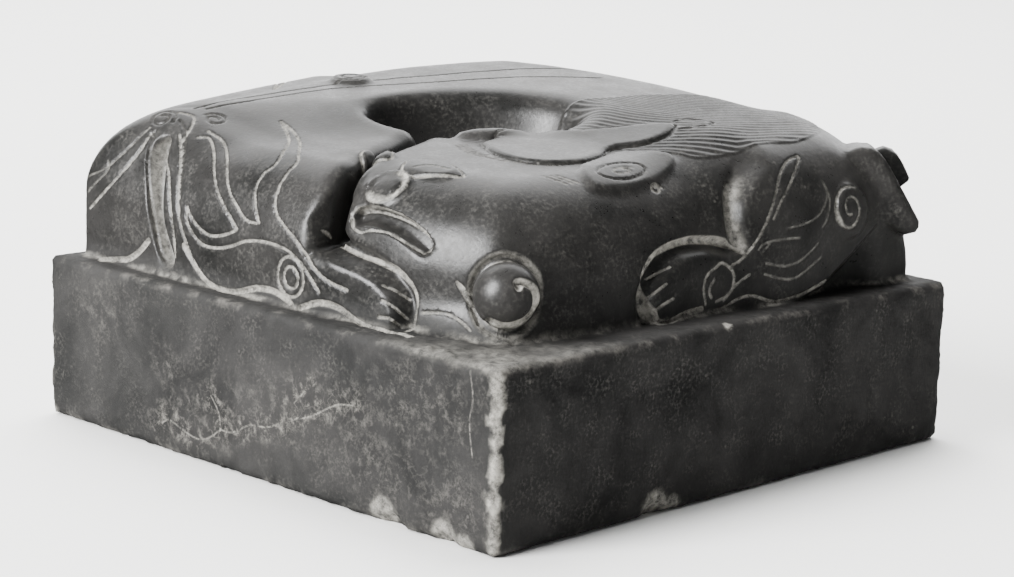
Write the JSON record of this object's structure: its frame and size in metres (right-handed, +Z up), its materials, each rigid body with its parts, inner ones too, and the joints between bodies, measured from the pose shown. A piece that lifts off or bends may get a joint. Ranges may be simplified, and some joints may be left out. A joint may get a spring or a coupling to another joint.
{
  "type": "stone seal",
  "caption": "Square carved stone seal: a low block topped by a coiled mythical beast in relief, with curls, a ball at one corner and a hollow inside the coil.",
  "frame": {"origin": "centre of the square underside, which is the face that prints and stands on the desk", "axes": "+Z up through the beast; the beast's muzzle is on the -Y side, next to the (+X, -Y) corner with the ball; the neck and one foreleg are on the +X side"},
  "size_m": [0.1, 0.1, 0.0544],
  "materials": {
    "dark_stone": "dark grey-green stone, hand carved and half polished, pale dust in the grooves, worn corners"
  },
  "bodies": {
    "root": {"seal": "dark_stone"}
  },
  "joints": []
}
